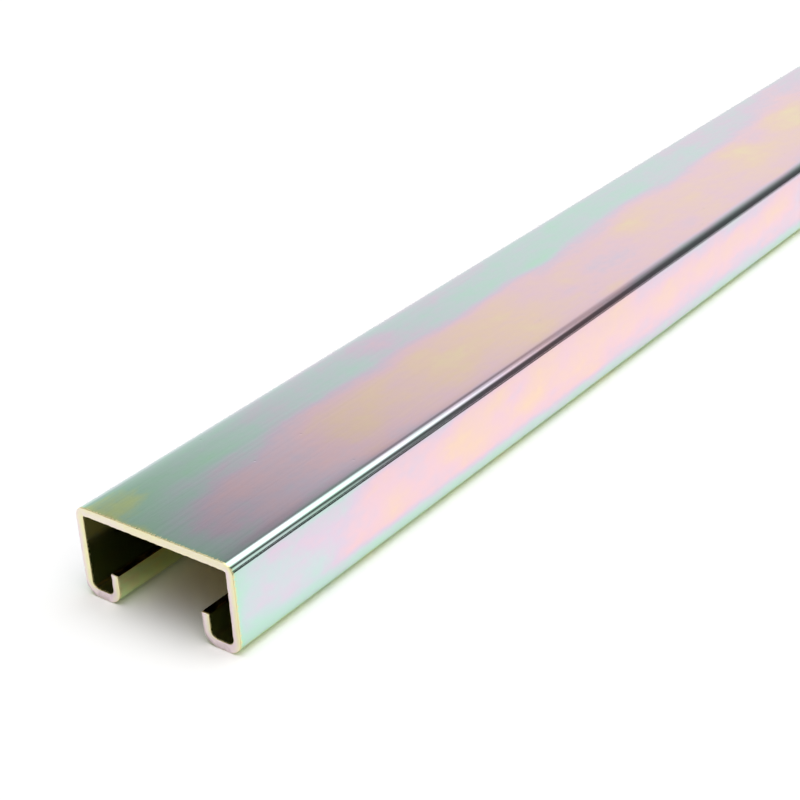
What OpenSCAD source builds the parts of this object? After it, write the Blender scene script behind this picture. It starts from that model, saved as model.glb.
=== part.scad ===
// Shallow strut channel: one strip of plated steel, cold-rolled through six right-angle bends.
// It lies on its lips with its back up. The length runs along Y, and the slot faces the floor.
// The origin is on the floor, under the middle of the length and of the slot.

/* [Section] */
// Overall width across the side walls
channel_w = 41.3; // [38:0.1:60]
// Overall height from the lips' underside to the back
channel_h = 20.6; // [16:0.1:82.6]
// Thickness of the steel strip
strip_t = 1.9; // [1.2:0.1:2.7]
// Width of the slot between the two lips
slot_w = 22.2; // [12:0.1:25.5]
// Depth of each lip, from the underside to its free edge
lip_h = 7.1; // [5:0.1:10]

/* [Bends] */
// Inside radius of the two bends beside the back
back_bend_r = 0.5; // [0.2:0.1:4]
// Inside radius of the two bends where the walls turn in under the channel
wall_bend_r = 1.5; // [0.3:0.1:2.6]
// Inside radius of the two bends where the lips turn up into the channel
lip_bend_r = 1.5; // [0.3:0.1:2.6]

/* [Piece] */
// Cut length of the piece
channel_l = 609.6; // [100:0.1:3048]

/* [Hidden] */
$fn = 96;

half_w = channel_w / 2;
half_slot = slot_w / 2;

// Each bend turns about a centre that is its outside radius in from the two faces it joins.
back_bend_x = half_w - back_bend_r - strip_t;
back_bend_z = channel_h - back_bend_r - strip_t;
wall_bend_x = half_w - wall_bend_r - strip_t;
wall_bend_z = wall_bend_r + strip_t;
lip_bend_x = half_slot + lip_bend_r + strip_t;
lip_bend_z = lip_bend_r + strip_t;

// A quarter ring of strip about a centre, in the quadrant that side_x and side_y (1 or -1) give.
module bend(centre, inside_r, side_x, side_y) {
    outside_r = inside_r + strip_t;
    translate(centre) intersection() {
        difference() {
            circle(r = outside_r);
            circle(r = inside_r);
        }
        translate([side_x > 0 ? 0 : -outside_r, side_y > 0 ? 0 : -outside_r]) square(outside_r);
    }
}

// A straight run of strip between two opposite corners.
module run(low, high) {
    translate(low) square(high - low);
}

// Everything on one side of the back: bend, wall, bend, bottom flange, bend and lip.
module side_section() {
    bend([back_bend_x, back_bend_z], back_bend_r, 1, 1);
    run([half_w - strip_t, wall_bend_z], [half_w, back_bend_z]);
    bend([wall_bend_x, wall_bend_z], wall_bend_r, 1, -1);
    run([lip_bend_x, 0], [wall_bend_x, strip_t]);
    bend([lip_bend_x, lip_bend_z], lip_bend_r, -1, -1);
    run([half_slot, lip_bend_z], [half_slot + strip_t, lip_h]);
}

// The whole strip as it comes off the rolls, seen end on.
module rolled_section() {
    run([-back_bend_x, channel_h - strip_t], [back_bend_x, channel_h]);
    side_section();
    mirror([1, 0]) side_section();
}

// The piece of stock, cut square at both ends.
module channel() {
    color([0.70, 0.76, 0.68])
        rotate([90, 0, 0])
            linear_extrude(height = channel_l, center = true) rolled_section();
}

channel();
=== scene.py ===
import math

import bpy
import numpy as np
from mathutils import Matrix, Vector


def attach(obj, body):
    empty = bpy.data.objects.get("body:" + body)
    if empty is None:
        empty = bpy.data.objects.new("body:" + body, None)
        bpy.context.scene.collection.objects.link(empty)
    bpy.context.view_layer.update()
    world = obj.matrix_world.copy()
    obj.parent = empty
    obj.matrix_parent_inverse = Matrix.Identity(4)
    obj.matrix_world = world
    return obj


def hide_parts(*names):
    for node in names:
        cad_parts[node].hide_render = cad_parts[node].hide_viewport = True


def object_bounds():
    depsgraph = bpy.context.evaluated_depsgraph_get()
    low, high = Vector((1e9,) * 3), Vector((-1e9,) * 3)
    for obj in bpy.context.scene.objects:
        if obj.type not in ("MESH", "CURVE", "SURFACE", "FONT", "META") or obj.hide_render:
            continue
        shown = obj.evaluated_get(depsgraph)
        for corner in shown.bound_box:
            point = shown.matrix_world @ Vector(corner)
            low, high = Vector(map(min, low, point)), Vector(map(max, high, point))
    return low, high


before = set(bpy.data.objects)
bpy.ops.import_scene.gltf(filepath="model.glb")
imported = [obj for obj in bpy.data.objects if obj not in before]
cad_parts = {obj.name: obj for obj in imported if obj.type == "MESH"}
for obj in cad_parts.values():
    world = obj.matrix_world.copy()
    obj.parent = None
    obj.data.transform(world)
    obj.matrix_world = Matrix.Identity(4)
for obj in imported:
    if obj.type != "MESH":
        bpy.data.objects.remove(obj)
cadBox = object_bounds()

scene = bpy.context.scene
mm = 0.001
lowCorner, highCorner = (np.array(corner, float) for corner in cadBox)
channelWidth, channelLength, channelHeight = highCorner - lowCorner
nearEnd = lowCorner[1]  # the cut end that faces the camera, on Y


# 0 below low and 1 above high; between them 3u^2 - 2u^3, where u is the share of the way
def smoothStep(low, high, value):
    u = np.clip((value - low) / (high - low), 0, 1)
    return u * u * (3 - 2 * u)


# sum over octaves of four waves sin(rate (x cos turn + y sin turn) + phase) / 2^octave, from a seeded draw;
# it stays between about -1 and 1, and a blotch is about 3 units of x or y wide
def smoothNoise(x, y, seed, octaves=3):
    draw = np.random.default_rng(seed)
    total, weight = 0.0, 0.0
    for octave in range(octaves):
        for wave in range(4):
            turn, phase = draw.uniform(0, 2 * math.pi, 2)
            rate = 2**octave * draw.uniform(0.7, 1.3)
            total = total + np.sin(rate * (x * math.cos(turn) + y * math.sin(turn)) + phase) / 2**octave
        weight += 2.0 / 2**octave
    return total / weight


# adds a shader node; an input is a socket to link from, or a value to set
def addNode(tree, kind, inputs=None, **settings):
    made = tree.nodes.new("ShaderNode" + kind)
    for name, value in settings.items():
        setattr(made, name, value)
    for key, value in (inputs or {}).items():
        if isinstance(value, bpy.types.NodeSocket):
            tree.links.new(value, made.inputs[key])
        else:
            made.inputs[key].default_value = value
    return made


def maths(tree, operation, a, b=0.5, c=0.5):
    return addNode(tree, "Math", {0: a, 1: b, 2: c}, operation=operation).outputs[0]


# carries a value from one range to another, held at both ends
def rerange(tree, value, fromRange, toRange, kind="LINEAR"):
    sockets = {"Value": value, "From Min": fromRange[0], "From Max": fromRange[1],
               "To Min": toRange[0], "To Max": toRange[1]}
    return addNode(tree, "MapRange", sockets, clamp=True, interpolation_type=kind).outputs["Result"]


# a ramp through a list of (place from 0 to 1, colour)
def colourRamp(tree, value, stops):
    made = addNode(tree, "ValToRGB", {"Fac": value})
    ramp = made.color_ramp
    while len(ramp.elements) < len(stops):
        ramp.elements.new(0.5)
    for element, (place, colour) in zip(ramp.elements, stops):
        element.position = place
        element.color = (*colour, 1)
    return made.outputs["Color"]


def blendColours(tree, share, a, b):
    made = addNode(tree, "Mix", data_type="RGBA")
    for place, value in ((0, share), (6, a), (7, b)):
        if isinstance(value, bpy.types.NodeSocket):
            tree.links.new(value, made.inputs[place])
        else:
            made.inputs[place].default_value = (*value, 1) if place else value
    return made.outputs[2]


def blendValues(tree, share, a, b):
    return addNode(tree, "Mix", {0: share, 2: a, 3: b}, data_type="FLOAT").outputs[0]


# cloudy noise; the clouds' size is in mm across, through and along the strip
def clouds(tree, vector, size, detail=2.0, roughness=0.5):
    scales = [1 / length for length in size]
    scaled = addNode(tree, "VectorMath", {0: vector, 1: scales}, operation="MULTIPLY").outputs[0]
    inputs = {"Vector": scaled, "Scale": 1.0, "Detail": detail, "Roughness": roughness}
    return addNode(tree, "TexNoise", inputs).outputs["Fac"]


def newMaterial(name):
    made = bpy.data.materials.new(name)
    made.use_nodes = True
    made.node_tree.nodes.clear()
    return made, made.node_tree


# the channel is one steel strip, rolled to shape, plated and cut to length
strip = {
    "thickness": 1.9 * mm,
    "slotWidth": 22.2 * mm,
    "lipHeight": 7.1 * mm,
    "lipBend": 1.5 * mm,  # radii inside the bends
    "wallBend": 1.5 * mm,
    "backBend": 0.5 * mm,
    "bendFaces": 14,
    "flatFace": 0.6 * mm,  # widest face on a flat
    "guard": 0.18 * mm,  # narrow face where a flat meets a bend
    "lengthFace": 5.0 * mm,
    "endSteps": 6, "endStep": 0.4 * mm, "endGrowth": 1.5,  # the closer faces near a cut end
    "depthFaces": 6,  # faces through the thickness, between the rounded edges
    "insideFrom": (0.3, 0.7),  # shares of the thickness between which the section's inside begins
    "edgeRadius": 0.17 * mm,  # the sheared edges, softened by the plating
    "edgeRagged": 0.13 * mm, "raggedPerMm": 3.0,  # how far the shear makes that radius vary, and how often
    "raggedRange": (-0.8, 1),  # the least leaves some radius everywhere
    "edgeFaces": 3,
    "tornDepth": 0.08 * mm,  # how far the torn part of a cut face stands back
    "tornFrom": (0.35, 0.62),  # shares of the thickness between which the tear begins
    "tornWaver": 0.1, "tornPerMm": 1.5,
    "wander": 0.015 * mm, "wanderSize": (7 * mm, 30 * mm),  # how far the rolled flats wander inwards
    "ease": 0.05 * mm, "easeReach": 1.2 * mm,  # how far the flats ease in before the back's bends
}
backFlat = channelWidth - 2 * (strip["backBend"] + strip["thickness"])
wallFlat = channelHeight - strip["wallBend"] - strip["backBend"] - 2 * strip["thickness"]
flangeWidth = (channelWidth - strip["slotWidth"]) / 2
flangeFlat = flangeWidth - strip["lipBend"] - strip["wallBend"] - 2 * strip["thickness"]
lipFlat = strip["lipHeight"] - strip["lipBend"] - strip["thickness"]
stripFlats = [lipFlat, flangeFlat, wallFlat, backFlat, wallFlat, flangeFlat, lipFlat]
stripBends = [strip[name] for name in ("lipBend", "wallBend", "backBend", "backBend", "wallBend", "lipBend")]

# where each flat and bend begins along the middle of the strip: flat, bend, flat and so on
runs = [stripFlats[0]]
for bendRadius, flatLength in zip(stripBends, stripFlats[1:]):
    runs += [(bendRadius + strip["thickness"] / 2) * math.pi / 2, flatLength]
breaks = np.concatenate([[0.0], np.cumsum(runs)])
stripWidth = breaks[-1]
backBends = breaks[5:9]  # where the left bend beside the back begins and ends, then the right one
lowerBend = breaks[9:11] - stripWidth / 2  # where the lower wall bends do, outwards from the middle


# carries s along the strip and t below its outer face to x and z on the section. On a flat it is
# corner + s along - t outward; in a bend it is centre + (inside + thickness - t)(cos a, sin a),
# where a falls by ds / (inside + thickness / 2)
def bendStrip(s, t):
    thick = strip["thickness"]
    x, z = np.zeros(s.shape), np.zeros(s.shape)
    corner = np.array([-strip["slotWidth"] / 2, strip["lipHeight"]])  # the left lip's free edge, slot side
    heading = -math.pi / 2  # down the lip, and every bend turns clockwise
    for index in range(len(stripFlats)):
        along = np.array([math.cos(heading), math.sin(heading)])
        outward = np.array([-along[1], along[0]])
        begin, end = breaks[2 * index], breaks[2 * index + 1]
        last = index == len(stripBends)
        here = (s > (begin if index else -np.inf)) & (s <= (np.inf if last else end))
        x = np.where(here, corner[0] + along[0] * (s - begin) - outward[0] * t, x)
        z = np.where(here, corner[1] + along[1] * (s - begin) - outward[1] * t, z)
        if last:
            break
        inside = stripBends[index]
        centre = corner + along * (end - begin) - outward * (inside + thick)
        turned = math.atan2(outward[1], outward[0]) - (s - end) / (inside + thick / 2)
        here = (s > end) & (s <= breaks[2 * index + 2])
        x = np.where(here, centre[0] + (inside + thick - t) * np.cos(turned), x)
        z = np.where(here, centre[1] + (inside + thick - t) * np.sin(turned), z)
        heading -= math.pi / 2
        corner = centre + (inside + thick) * along
    return x, z


# shares of the edge radius where the faces of a rounded edge meet: 1 - tan(a),
# for even angles a from 45 degrees to 0
edgeShares = 1 - np.tan(np.linspace(math.pi / 4, 0, strip["edgeFaces"] + 1))


# stations across the strip: the rounded lip edges, even faces on each flat and bend,
# and a guard face beside each bend
def acrossStations():
    radius = strip["edgeRadius"]
    found = [edgeShares * radius]
    for index, (low, high) in enumerate(zip(breaks[:-1], breaks[1:])):
        low, high = max(low, radius), min(high, stripWidth - radius)
        if index % 2:
            found.append(np.linspace(low, high, strip["bendFaces"] + 1)[1:])
        else:
            guard = strip["guard"]
            count = max(2, math.ceil((high - low - 2 * guard) / strip["flatFace"]))
            found.append(np.append(np.linspace(low + guard, high - guard, count + 1), high))
    found.append(stripWidth - edgeShares[-2::-1] * radius)
    return np.concatenate(found)


# stations along the length, close together near both cut ends:
# start + step (growth^n - 1), until the even faces take over
def lengthStations():
    start = strip["edgeRadius"] + strip["edgeRagged"]
    near = start + strip["endStep"] * (strip["endGrowth"] ** np.arange(strip["endSteps"]) - 1)
    count = math.ceil((channelLength - 2 * near[-1]) / strip["lengthFace"])
    even = np.linspace(near[-1], channelLength - near[-1], count + 1)
    return np.concatenate([near[:-1], even, channelLength - near[-2::-1]])


# the faces of the six outer sheets of a lattice of counts points; a point's number is (i nt + k) ny + j
def latticeSheets(counts):
    # the axis a sheet stands across, its first or last layer, and whether its faces are turned round
    sides = [(1, 0, False), (1, -1, True), (2, 0, False), (2, -1, True), (0, 0, True), (0, -1, False)]
    sheets = []
    for fixed, layer, flip in sides:
        rows, columns = [axis for axis in range(3) if axis != fixed]
        steps = np.arange(counts[rows] - 1), np.arange(counts[columns] - 1)
        first, second = np.meshgrid(*steps, indexing="ij")
        corners = []
        for a, b in ((0, 0), (1, 0), (1, 1), (0, 1)):
            place = [0, 0, 0]
            place[fixed] = layer % counts[fixed]
            place[rows], place[columns] = first + a, second + b
            corners.append((place[0] * counts[1] + place[1]) * counts[2] + place[2])
        faces = np.stack(corners, -1).reshape(-1, 4)
        sheets.append(faces[:, ::-1] if flip else faces)
    return sheets


# a bar with rounded edges in strip space (s, t, y): a sharp bar's point p moves to q + r (p - q) / |p - q|,
# where q is p held r inside every side and r is the edge radius there, which wavers along the cut ends
def roundedBar():
    across, along = acrossStations(), lengthStations()
    edge, thick = strip["edgeFaces"], strip["thickness"]
    counts = (len(across), 2 * edge + strip["depthFaces"] + 1, len(along) + 2 * (edge + 1))
    sheets = latticeSheets(counts)
    used, faces = np.unique(np.concatenate(sheets), return_inverse=True)
    i, k, j = used // (counts[1] * counts[2]), used // counts[2] % counts[1], used % counts[2]
    fromInner, fromFar = counts[1] - 1 - k, counts[2] - 1 - j

    s = across[i]
    otherEnd = (j > counts[2] / 2) * 40.0  # takes the far end to another part of the noise
    waver = smoothNoise(s / mm * strip["raggedPerMm"], otherEnd, 4)
    radius = strip["edgeRadius"] + strip["edgeRagged"] * np.clip(waver, *strip["raggedRange"])
    radius = np.where((i <= edge) | (i >= counts[0] - 1 - edge), strip["edgeRadius"], radius)

    depths = np.linspace(0, 1, strip["depthFaces"] + 1)[np.clip(k - edge, 0, strip["depthFaces"])]
    t = radius + (thick - 2 * radius) * depths
    t = np.where(k < edge, edgeShares[np.minimum(k, edge)] * radius, t)
    t = np.where(fromInner < edge, thick - edgeShares[np.minimum(fromInner, edge)] * radius, t)

    y = along[np.clip(j - edge - 1, 0, len(along) - 1)]
    y = np.where(j <= edge, edgeShares[np.minimum(j, edge)] * radius, y)
    y = np.where(fromFar <= edge, channelLength - edgeShares[np.minimum(fromFar, edge)] * radius, y)

    sharp = np.stack([s, t, y], -1)
    size = np.array([stripWidth, thick, channelLength])
    held = np.clip(sharp, radius[:, None], size - radius[:, None])
    away = (sharp - held) / np.maximum(np.linalg.norm(sharp - held, axis=1, keepdims=True), 1e-12)
    sheetOfFace = np.repeat(np.arange(6), [len(sheet) for sheet in sheets])
    return held + away * radius[:, None], away, faces.reshape(-1, 4), sheetOfFace


# 1 on the back, easing to 0 across the bends on both sides of it
def onBack(s):
    return smoothStep(*backBends[:2], s) * (1 - smoothStep(*backBends[2:], s))


# the passivation's colours by film thickness, from 0 to 1, as linear colour on bright zinc
film = {
    "colours": [
        (0.00, (0.10, 0.10, 0.06)),  # near black, a painted shade that only the lips' free edges reach
        (0.03, (0.86, 0.75, 0.37)),  # straw
        (0.11, (0.77, 0.93, 0.44)),  # yellow green
        (0.17, (0.71, 0.90, 0.51)),  # green
        (0.25, (0.55, 0.85, 0.67)),  # green teal
        (0.34, (0.61, 0.81, 0.74)),  # pale teal
        (0.40, (0.67, 0.77, 0.78)),  # ice
        (0.50, (0.80, 0.68, 0.80)),  # lilac
        (0.61, (0.93, 0.67, 0.73)),  # pink
        (0.75, (0.96, 0.72, 0.58)),  # peach
        (0.88, (0.96, 0.82, 0.52)),  # pale yellow
        (1.00, (0.94, 0.70, 0.72)),  # pink again
    ],
    "flats": 0.65,
    "patchy": 0.065, "patchSize": (8 * mm, 24 * mm),  # across and along the strip
    "blotchy": 0.065, "blotchSize": (3 * mm, 5 * mm),
    "waverSize": (8 * mm, 16 * mm),
    "endLoss": 0.24, "endReach": 35 * mm,  # thinner towards the cut ends
    "fringeLoss": 0.12, "fringeReach": 1.0 * mm,  # and more so right at them
    "thinnest": 0.10,
    "lipEdgeShade": 0.02, "lipEdgeReach": (0.35 * mm, 0.1 * mm),  # painted shade: the lips' free edges, deep in the channel, are drawn near black
    # the side of the back that drained thin: its film and its edge, across from the middle of the back;
    # it weakens between two places along from the near end, to the share that stays
    "drained": 0.36, "drainedEdge": -5.5 * mm, "drainedSoft": 3.5 * mm, "drainedWaver": 1.2,
    "drainedFades": (300 * mm, 200 * mm), "drainedStays": 0.5,
    "drainedEvens": 0.8,  # how much of the loss at the cut ends it evens out
    # on each bend from the left wall's lower one on: the film at places in mm from the nearer cut end,
    # and how far it spreads, in half widths of the bend
    "bends": [
        ([(25, 0.20), (95, 0.22)], 2.2),
        ([(25, 0.40), (95, 0.42)], 2.0),
        ([(8, 0.29), (14, 0.34), (23, 0.30), (36, 0.31), (52, 0.38), (69, 0.42), (88, 0.47), (108, 0.62),
          (130, 0.58), (153, 0.47), (178, 0.40), (215, 0.39)], 1.6),
        ([(10, 0.34), (40, 0.32), (95, 0.36), (150, 0.42), (190, 0.38)], 2.5),
    ],
    "bendSoft": 1.6, "bendWaver": 0.02,
    "underside": (0.17, 0.11), "undersideWaver": 0.03,  # where the lower bends begin, and from their feet on
    "undersideFrom": (0.18, 0.45),  # shares of the lower bends between which the underside's film begins
    # each bloom: across from the middle of the back, along from the near end, its reach both ways in mm,
    # and its gain; first those on the back, from the near end on, then those on the right wall
    "blooms": [
        (-14, 3, 8, 8, -0.17), (-10.5, 12, 4, 9, -0.10), (-3, 12, 5, 13, -0.10), (5, 0, 13, 5, -0.12),
        (3, 6, 5, 4, -0.08), (6, 3, 6, 3, -0.05), (15, 9, 7, 12, 0.08), (2, 19, 4, 6, -0.05),
        (-15, 24, 4, 7, -0.05), (-6, 31, 4, 9, -0.15), (3, 34, 8, 12, -0.05), (-8, 41, 4, 6, -0.05),
        (0, 47, 5, 6, 0.05), (-12, 55, 6, 10, 0.07), (2, 66, 8, 22, 0.10), (14, 60, 5, 25, 0.05),
        (10, 66, 6, 8, 0.05), (-5, 76, 3, 6, -0.07), (-13, 86, 7, 8, 0.16), (6, 86, 9, 9, 0.14),
        (-12, 97, 4, 6, 0.07), (7, 110, 9, 13, 0.15), (-17, 124, 3, 16, 0.09), (-3, 145, 4, 8, -0.22),
        (4, 123, 5, 5, 0.04), (1, 175, 5, 6, 0.08), (3, 188, 6, 7, 0.06), (-12, 213, 4, 8, 0.07),
        (-17, 232, 3, 12, 0.07), (2, 236, 5, 8, 0.14), (7, 246, 6, 9, 0.09), (-9, 258, 5, 9, 0.02),
        (3, 272, 10, 14, 0.16), (-8, 283, 5, 9, 0.12),
        (28, 5, 9, 10, -0.03), (24, 71, 3, 6, 0.07), (26.5, 76, 5, 10, 0.14), (22.5, 86, 3, 6, 0.08),
        (29.5, 101, 3.5, 6, 0.16), (28.5, 113, 4, 6, 0.07), (21.5, 114, 3, 7, 0.06),
        (25.5, 133, 4, 7, -0.06), (28, 146, 4, 7, 0.12), (24.5, 172, 5, 8, -0.07),
        (21, 190, 2.5, 32, -0.20), (32, 95, 3, 30, -0.07), (30, 185, 3.5, 14, 0.08),
        (32, 193, 4, 46, -0.17), (30, 160, 3, 10, 0.06),
    ],
}


# 1 right at the lips' free edges and 0 a little way in
def nearLipEdge(s):
    return smoothStep(*film["lipEdgeReach"], np.minimum(s, stripWidth - s))


# the film starts as flats + patches + blotches - endLoss e^(-d / endReach), at distance d from the nearer
# cut end. The drained side draws it to its own value, and each bloom adds
# gain e^(-(across / reach)^2 - (along / reach)^2). Smooth steps carry it to the bends' values and to the
# underside's, the cut ends lose fringeLoss e^(-(d / fringeReach)^2), and it is held between thinnest and 1
# everywhere but on the lips' free edges, which are drawn near zero, to a near-black painted shade
def filmThickness(s, y):
    across, fromEnd = s - stripWidth / 2, np.minimum(y, channelLength - y)
    patch, blotch, wave = film["patchSize"], film["blotchSize"], film["waverSize"]
    value = film["flats"] + film["patchy"] * smoothNoise(across / patch[0], y / patch[1], 11, 4)
    value = value + film["blotchy"] * smoothNoise(across / blotch[0], y / blotch[1], 23, 2)
    waver = smoothNoise(y / wave[1], across / wave[0], 5, 4)

    fromEdge = (film["drainedEdge"] - across) / film["drainedSoft"]
    drained = smoothStep(-1, 1, fromEdge + film["drainedWaver"] * waver) * onBack(s)
    stays = film["drainedStays"]
    drained = drained * (stays + (1 - stays) * smoothStep(*film["drainedFades"], y))
    endLoss = film["endLoss"] * np.exp(-fromEnd / film["endReach"])
    value = value - endLoss * (1 - film["drainedEvens"] * drained)
    value = value + (film["drained"] - value) * drained

    for acrossAt, alongAt, acrossReach, alongReach, gain in film["blooms"]:
        shape = ((across / mm - acrossAt) / acrossReach) ** 2 + ((y / mm - alongAt) / alongReach) ** 2
        value = value + gain * np.exp(-shape)

    for begin, end, (places, spread) in zip(breaks[3:11:2], breaks[4:11:2], film["bends"]):
        fromMiddle = np.abs(2 * s - begin - end) / (end - begin)
        bend = np.interp(fromEnd / mm, *zip(*places)) + film["bendWaver"] * waver
        value = value + (bend - value) * smoothStep(spread, spread - film["bendSoft"], fromMiddle)
    pastLower = (np.abs(across) - lowerBend[0]) / (lowerBend[1] - lowerBend[0])
    underside = np.interp(np.abs(across), lowerBend, film["underside"]) + film["undersideWaver"] * waver
    value = value + (underside - value) * smoothStep(*film["undersideFrom"], pastLower)

    value = value - film["fringeLoss"] * np.exp(-(fromEnd / film["fringeReach"]) ** 2)
    value = np.clip(value, film["thinnest"], 1)
    return value + (film["lipEdgeShade"] - value) * nearLipEdge(s)


# the cut faces' tint, from 0 to 1
cutTint = {
    "middle": 0.5,
    "sideways": 0.4, "upwards": 0.08,  # how it follows the way that the strip's outer side faces
    "mottle": 0.15, "mottleSize": (4 * mm, 1.5 * mm),  # across the strip and through it
    # what it gains where each flat and bend begins, from the left lip's free edge on;
    # the large losses on the flanges are painted shade that darkens their cut faces
    "driftAndShade": [-0.1, 0.0, -0.38, -0.38, 0.15, 0.2, 0.05, 0.18, 0.05, 0.0, -0.35, -0.35, -0.15, -0.1],
}


# tint = middle + sideways nx + upwards nz + drift + mottle noise, where (nx, nz) points out of the outer
# face, shrinks to nothing halfway through the strip and is turned round beyond; the drift's large losses
# on the flanges darken their cut faces as painted shade
def cutTintAt(s, t):
    outer, inner = (np.stack(bendStrip(s, t * 0 + depth)) for depth in (0.0, strip["thickness"]))
    sideways, upwards = (outer - inner) / strip["thickness"] * (1 - 2 * t / strip["thickness"])
    tint = cutTint["middle"] + cutTint["sideways"] * sideways + cutTint["upwards"] * upwards
    tint = tint + np.interp(s, breaks, cutTint["driftAndShade"])
    wide, deep = cutTint["mottleSize"]
    return tint + cutTint["mottle"] * smoothNoise(s / wide, t / deep, 17)


# the bar's points on the channel: bendStrip at depth t + wander noise + ease e^(-d / easeReach), at
# distance d from the back's bends, and y moved in by tornDepth where a cut face is torn
def rolledPoints(place, away):
    s, t, y = place.T
    wide, long = strip["wanderSize"]
    wander = np.clip(0.5 + 0.5 * smoothNoise(s / wide, y / long, 31), 0.0, 1.0)
    begin, end = backBends[2:]
    fromMiddle = np.abs(np.abs(s - stripWidth / 2) - (begin + end - stripWidth) / 2)
    ease = strip["ease"] * np.exp(-np.maximum(fromMiddle - (end - begin) / 2, 0) / strip["easeReach"])
    x, z = bendStrip(s, t + strip["wander"] * wander + ease)

    deep = t / strip["thickness"] + strip["tornWaver"] * smoothNoise(s / mm * strip["tornPerMm"], y * 0, 8)
    stepBack = strip["tornDepth"] * smoothStep(*strip["tornFrom"], deep) * away[:, 2] ** 2
    return np.stack([x, nearEnd + y - np.sign(away[:, 2]) * stepBack, z + lowCorner[2]], -1)


# the flat layout that a baked finish uses: (u, v) of every face corner, with one sheet of the bar
# on each chart, where u = low u + width a and v = low v + height b
def bakeLayout(corners, sheetOfCorner):
    s, t, y = (corners / [stripWidth, strip["thickness"], channelLength]).T
    charts = [  # a, b and the chart's place: low u, low v, width, height
        (s, y, 0.005, 0.005, 0.475, 0.965), (s, y, 0.490, 0.005, 0.475, 0.965),
        (s, t, 0.005, 0.975, 0.475, 0.009), (s, t, 0.490, 0.975, 0.475, 0.009),
        (t, y, 0.970, 0.005, 0.009, 0.965), (t, y, 0.985, 0.005, 0.009, 0.965),
    ]
    layout = np.zeros((len(corners), 2))
    for sheet, (a, b, lowU, lowV, width, height) in enumerate(charts):
        here = sheetOfCorner == sheet
        layout[here, 0] = (lowU + a * width)[here]
        layout[here, 1] = (lowV + b * height)[here]
    return layout


def addAttribute(mesh, name, kind, key, values):
    made = mesh.attributes.new(name, kind, "POINT")
    made.data.foreach_set(key, np.ascontiguousarray(values, np.float32).ravel())


def buildChannel():
    place, away, faces, sheetOfFace = roundedBar()
    s, t, y = place.T
    mesh = bpy.data.meshes.new("strut_channel")
    mesh.from_pydata(rolledPoints(place, away), [], faces)
    mesh.polygons.foreach_set("use_smooth", np.ones(len(faces), bool))

    onCut = away[:, 2] ** 2 / np.maximum((away**2).sum(1), 1e-12)  # 1 on the cut faces, 0 on the rolled ones
    inside = smoothStep(*strip["insideFrom"], t / strip["thickness"]) * (1 - nearLipEdge(s))
    addAttribute(mesh, "stripPlace", "FLOAT_VECTOR", "vector", place / mm)
    for name, values in (("film", filmThickness(s, y)), ("cut", onCut), ("cutFilm", cutTintAt(s, t)),
                         ("inside", inside), ("underBackShaded", onBack(s))):
        addAttribute(mesh, name, "FLOAT", "value", values)
    layout = bakeLayout(place[faces.ravel()], np.repeat(sheetOfFace, 4))
    mesh.uv_layers.new(name="OFBake").uv.foreach_set("vector", layout.astype(np.float32).ravel())
    mesh.update()
    channel = bpy.data.objects.new("strut_channel", mesh)
    scene.collection.objects.link(channel)
    print("channel:", len(place), "points", len(faces), "faces")
    return channel


# sizes and heights are in mm; a size is across, through and along the strip
finish = {
    "roughness": (0.085, 0.13), "roughnessFrom": (0.3, 0.7),  # the rolling noise that each belongs to
    "cloud": (6, 3, 13), "cloudGain": 0.27,
    "mottle": (1.6, 2, 2.4), "mottleGain": 0.09, "mottleHeight": 0.002,
    "rolling": (0.9, 2, 60), "rollingGain": 0.02, "rollingHeight": 0.004,
    "pitSpacing": 7.0, "pitRadius": 0.28, "pitDepth": 0.04,
    # the inside's colours: a yellower film darkened with painted shade, most under the back
    "insideWallsShaded": (0.64, 0.69, 0.33), "underBackShaded": (0.46, 0.27, 0.05), "insideDuller": 0.095,
    "cutRoughness": 0.40,
    # where the cut faces' colour and the fringe's come in, from 0 on the rolled faces to 1 on the cut ones
    "cutFrom": (0.5, 0.95), "cutEdgeFrom": (0.0, 0.4),
    "cutColours": [(0.00, (0.58, 0.50, 0.50)), (0.24, (0.92, 0.78, 0.82)), (0.47, (0.95, 0.86, 0.77)),
                   (0.80, (0.96, 0.91, 0.55))],
    "cutMottle": (0.9, 0.9, 0.9), "cutMottleGain": 0.3,
    "cutGrain": (0.25, 1.2, 0.25), "cutGrainHeight": 0.02,
    "fringe": (0.98, 0.84, 0.46), "fringeShare": 0.8,  # colour beside a cut end, and how much it covers
    # the fringe's ragged teeth: the noise, the range of it that carries their reach from least to most,
    # and the shares of that reach between which they fade out
    "teeth": (0.5, 2, 40), "teethFrom": (0.35, 0.7), "teethReach": (0.12, 0.9), "teethSoft": (0.6, 1.0),
}


def readAttribute(tree, name, output="Fac"):
    return addNode(tree, "Attribute", attribute_name=name).outputs[output]


# film colour by thickness, which the clouds, mottling and rolling streaks change; plainer inside the section,
# where a darker colour stands that is partly the film's yellower tone and partly painted shade, darkest under
# the back
def filmColour(tree, cloud, mottle, rolling, inside):
    thickness = readAttribute(tree, "film")
    for texture, gain in ((cloud, "cloudGain"), (mottle, "mottleGain"), (rolling, "rollingGain")):
        centred = maths(tree, "SUBTRACT", texture, 0.5)
        thickness = maths(tree, "MULTIPLY_ADD", centred, finish[gain], thickness)
    underBackShaded = readAttribute(tree, "underBackShaded")
    # painted shade: the inner faces take darker colours, darkest under the back
    insideShadedColour = blendColours(tree, underBackShaded, finish["insideWallsShaded"], finish["underBackShaded"])
    return blendColours(tree, inside, colourRamp(tree, thickness, film["colours"]), insideShadedColour)


# the cut faces' colour by their tint, mottled
def cutColour(tree, spot):
    mottled = maths(tree, "SUBTRACT", clouds(tree, spot, finish["cutMottle"], detail=3.0), 0.5)
    tint = maths(tree, "MULTIPLY_ADD", mottled, finish["cutMottleGain"], readAttribute(tree, "cutFilm"))
    return colourRamp(tree, tint, finish["cutColours"])


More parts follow.
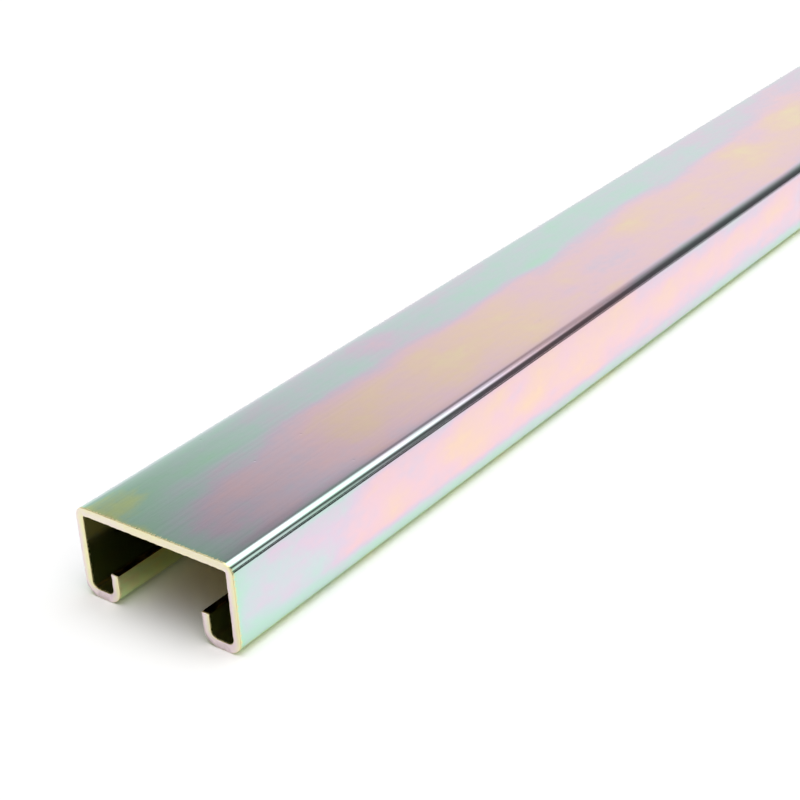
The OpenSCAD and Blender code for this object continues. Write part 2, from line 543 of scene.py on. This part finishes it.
# how much of the fringe's colour shows: all of it on the rounded cut edge, and ragged teeth beside it
def fringeShare(tree, spot, cut):
    along = addNode(tree, "SeparateXYZ", {0: spot}).outputs["Z"]
    fromEnd = maths(tree, "MINIMUM", along, maths(tree, "SUBTRACT", channelLength / mm, along))
    teeth = rerange(tree, clouds(tree, spot, finish["teeth"]), finish["teethFrom"], finish["teethReach"])
    reached = maths(tree, "DIVIDE", fromEnd, teeth)
    share = rerange(tree, reached, finish["teethSoft"], (finish["fringeShare"], 0))
    return maths(tree, "MAXIMUM", share, rerange(tree, cut, finish["cutEdgeFrom"], (0, 1)))


# bump by height: the rolling streaks, the mottling and small pits, and on the cut faces a grain
def zincBump(tree, spot, mottle, rolling, cut):
    spread = addNode(tree, "VectorMath", {0: spot, 3: 1 / finish["pitSpacing"]}, operation="SCALE").outputs[0]
    toPit = addNode(tree, "TexVoronoi", {"Vector": spread, "Scale": 1.0}).outputs["Distance"]
    pit = rerange(tree, toPit, (0, finish["pitRadius"] / finish["pitSpacing"]), (1, 0))
    height = maths(tree, "MULTIPLY", mottle, finish["mottleHeight"])
    height = maths(tree, "MULTIPLY_ADD", rolling, finish["rollingHeight"], height)
    height = maths(tree, "MULTIPLY_ADD", pit, -finish["pitDepth"], height)
    grain = clouds(tree, spot, finish["cutGrain"], detail=3.0)
    height = blendValues(tree, cut, height, maths(tree, "MULTIPLY", grain, finish["cutGrainHeight"]))
    return addNode(tree, "Bump", {"Height": height, "Strength": 1.0, "Distance": mm}).outputs["Normal"]


# bright zinc under the coloured film; the cut faces are paler and rougher
def passivatedZinc():
    material, tree = newMaterial("passivatedZinc")
    spot = readAttribute(tree, "stripPlace", "Vector")
    cut, inside = readAttribute(tree, "cut"), readAttribute(tree, "inside")
    cloud = clouds(tree, spot, finish["cloud"], detail=3.0, roughness=0.55)
    mottle = clouds(tree, spot, finish["mottle"])
    rolling = clouds(tree, spot, finish["rolling"])

    fringe = fringeShare(tree, spot, cut)
    colour = blendColours(tree, fringe, filmColour(tree, cloud, mottle, rolling, inside), finish["fringe"])
    colour = blendColours(tree, rerange(tree, cut, finish["cutFrom"], (0, 1)), colour, cutColour(tree, spot))
    roughness = rerange(tree, rolling, finish["roughnessFrom"], finish["roughness"])
    roughness = maths(tree, "MULTIPLY_ADD", inside, finish["insideDuller"], roughness)
    roughness = blendValues(tree, maths(tree, "MAXIMUM", fringe, cut), roughness, finish["cutRoughness"])

    shader = addNode(tree, "BsdfPrincipled", {
        "Base Color": colour, "Metallic": 1.0, "Roughness": roughness,
        "Normal": zincBump(tree, spot, mottle, rolling, cut)})
    output = addNode(tree, "OutputMaterial")
    tree.links.new(shader.outputs["BSDF"], output.inputs["Surface"])
    print("finish: passivated zinc")
    return material


channel = buildChannel()
channel.data.materials.append(passivatedZinc())
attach(channel, "root")
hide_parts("channel")

# a white table; behind it a pale wall that darkens upwards, and a broad overhead light that comes lower
# on the right, with a dark gap between the two and a low card on the right
studio = {
    "tableReach": 8.0,
    "tableColour": 0.90,
    "tableLift": 1.07, "tableMirrored": 0.93,  # how bright the table looks, and looks in metal
    "tableBelow": 0.02 * mm,
    # to the right, between these places on X, metal sees the table go dark; it fades along Y
    "tableShade": (80 * mm, 92 * mm, 1500 * mm, 4000 * mm), "shadeLight": 0.05,
    "shadeFades": (0.0, 190 * mm), "shadeStays": 0.4,
    "wallTilt": (20, 0.34),  # the wall's height = height - a (sin side + b), in degrees
    "wall": [(20, 0.90), (25, 0.87), (29, 0.83), (33.6, 0.72), (36, 0.60), (38.3, 0.43), (39.6, 0.32),
             (46, 0.26)],
    "gapSides": (-30, 32, 75, 100), "gapLight": 0.10,  # degrees right of +Y
    "cardSides": (43, 52, 75, 100), "cardHeights": (6, 10, 22, 28), "cardLight": 0.90,
    "lampEdges": ((50.8, 36.5), (46.1, 12)),  # lower edge = the lower of two a - b sin side, in degrees up
    "lampSoft": (-7, 9),
    "lampRight": (0.27, 0.595),  # the x of the directions where it ends on the right
    "lampLight": 2.1,
    # matt things are lit by the sum of light (d . lobe)^power over these lobes
    "lobes": [((0.05, 0.01, 1.0), 8.5, 3.90), ((0.85, 0.10, 0.42), 2.0, 0.98)],
}


def makeStage(name, points, faces, material):
    mesh = bpy.data.meshes.new(name)
    mesh.from_pydata(points, [], faces)
    mesh.materials.append(material)
    made = bpy.data.objects.new(name, mesh)
    scene.collection.objects.link(made)


# 1 between the two middle values, 0 outside the two outer ones
def window(tree, value, edges):
    rise = rerange(tree, value, edges[:2], (0, 1), "SMOOTHSTEP")
    fall = rerange(tree, value, edges[2:], (1, 0), "SMOOTHSTEP")
    return maths(tree, "MULTIPLY", rise, fall)


def asGrey(tree, value):
    return addNode(tree, "CombineColor", {0: value, 1: value, 2: value}).outputs[0]


def buildTable():
    material, tree = newMaterial("whiteTable")
    path = addNode(tree, "LightPath").outputs
    seen = maths(tree, "MAXIMUM", path["Is Camera Ray"], path["Is Transmission Ray"])
    colour = blendColours(tree, seen, (studio["tableColour"],) * 3, (studio["tableLift"],) * 3)
    colour = blendColours(tree, path["Is Glossy Ray"], colour, (studio["tableMirrored"],) * 3)
    spot = addNode(tree, "TexCoord").outputs["Object"]
    x, y = addNode(tree, "SeparateXYZ", {0: spot}).outputs[:2]
    fade = rerange(tree, y, studio["shadeFades"], (1, studio["shadeStays"]))
    shade = maths(tree, "MULTIPLY", window(tree, x, studio["tableShade"]), fade)
    shade = maths(tree, "MULTIPLY", shade, path["Is Glossy Ray"])
    colour = blendColours(tree, shade, colour, (studio["shadeLight"],) * 3)
    shader = addNode(tree, "BsdfDiffuse", {"Color": colour})
    output = addNode(tree, "OutputMaterial")
    tree.links.new(shader.outputs["BSDF"], output.inputs["Surface"])
    reach, height = studio["tableReach"], lowCorner[2] - studio["tableBelow"]
    corners = [(a * reach, b * reach, height) for a, b in ((-1, -1), (1, -1), (1, 1), (-1, 1))]
    makeStage("table", corners, [(0, 1, 2, 3)], material)


# what metal mirrors, by direction: height is in degrees up, side in degrees right of +Y
def mirroredLight(tree, direction):
    x, y, z = addNode(tree, "SeparateXYZ", {0: direction}).outputs
    height = maths(tree, "DEGREES", maths(tree, "ARCSINE", z))
    turned = maths(tree, "ARCTAN2", x, y)
    side, sinSide = maths(tree, "DEGREES", turned), maths(tree, "SINE", turned)

    tilt, offset = studio["wallTilt"]
    lean = maths(tree, "MULTIPLY_ADD", sinSide, tilt, tilt * offset)
    wallPlace = maths(tree, "DIVIDE", maths(tree, "SUBTRACT", height, lean), 90.0)  # the ramp ends overhead
    stops = [(degrees / 90, (light,) * 3) for degrees, light in studio["wall"]]
    wall = addNode(tree, "RGBToBW", {0: colourRamp(tree, wallPlace, stops)}).outputs[0]
    gap = window(tree, side, studio["gapSides"])
    light = maths(tree, "MULTIPLY", wall, maths(tree, "MULTIPLY_ADD", gap, studio["gapLight"] - 1, 1.0))
    cardAcross, cardUp = window(tree, side, studio["cardSides"]), window(tree, height, studio["cardHeights"])
    card = maths(tree, "MULTIPLY", cardAcross, cardUp)
    light = maths(tree, "MULTIPLY_ADD", card, studio["cardLight"], light)

    edges = [maths(tree, "MULTIPLY_ADD", sinSide, -b, a) for a, b in studio["lampEdges"]]
    aboveEdge = maths(tree, "SUBTRACT", height, maths(tree, "MINIMUM", *edges))
    lamp = maths(tree, "MULTIPLY", rerange(tree, aboveEdge, studio["lampSoft"], (0, 1), "SMOOTHSTEP"),
                 rerange(tree, x, studio["lampRight"], (1, 0), "SMOOTHSTEP"))
    return blendColours(tree, lamp, asGrey(tree, light), (studio["lampLight"],) * 3)


# what lights matt things: the sum of the lobes
def mattLight(tree, direction):
    total = 0.0
    for lobe, power, light in studio["lobes"]:
        towards = {0: direction, 1: Vector(lobe).normalized()}
        facing = addNode(tree, "VectorMath", towards, operation="DOT_PRODUCT").outputs["Value"]
        facing = maths(tree, "POWER", maths(tree, "MAXIMUM", facing, 0.0), power)
        total = maths(tree, "MULTIPLY_ADD", facing, light, total)
    return asGrey(tree, total)


def lightStudio():
    world = bpy.data.worlds.new("studio")
    scene.world = world
    world.use_nodes = True
    tree = world.node_tree
    tree.nodes.clear()
    direction = addNode(tree, "TexCoord").outputs["Generated"]
    path = addNode(tree, "LightPath").outputs
    shiny = maths(tree, "MAXIMUM", path["Is Glossy Ray"], path["Is Transmission Ray"])
    colour = blendColours(tree, shiny, mattLight(tree, direction), mirroredLight(tree, direction))
    colour = blendColours(tree, path["Is Camera Ray"], colour, (1, 1, 1))
    background = addNode(tree, "Background", {"Color": colour, "Strength": 1.0})
    output = addNode(tree, "OutputWorld")
    tree.links.new(background.outputs[0], output.inputs["Surface"])


view = {
    "lens": 81.5,
    "fromNearEnd": (220.9, -198.9, 200.0),  # mm, from the foot of the near end's middle
    "azimuth": 38.55, "elevation": 27.71, "roll": -3.56,  # degrees
}


# the camera looks along (-sin a cos e, cos a cos e, -sin e), turned by the roll about that line
def placeCamera():
    a, e, r = (math.radians(view[name]) for name in ("azimuth", "elevation", "roll"))
    forward = Vector((-math.sin(a) * math.cos(e), math.cos(a) * math.cos(e), -math.sin(e)))
    level = Vector((math.cos(a), math.sin(a), 0))
    upright = level.cross(forward)
    right = level * math.cos(r) + upright * math.sin(r)
    up = upright * math.cos(r) - level * math.sin(r)
    foot = Vector((0, nearEnd, lowCorner[2]))
    data = bpy.data.cameras.new("camera")
    data.lens = view["lens"]
    camera = bpy.data.objects.new("camera", data)
    turn = Matrix((right, up, -forward)).transposed().to_4x4()
    camera.matrix_world = Matrix.Translation(foot + Vector(view["fromNearEnd"]) * mm) @ turn
    scene.collection.objects.link(camera)
    scene.camera = camera


buildTable()
lightStudio()
placeCamera()
scene.view_settings.view_transform = "Standard"
print("studio: table, light and camera are in place")
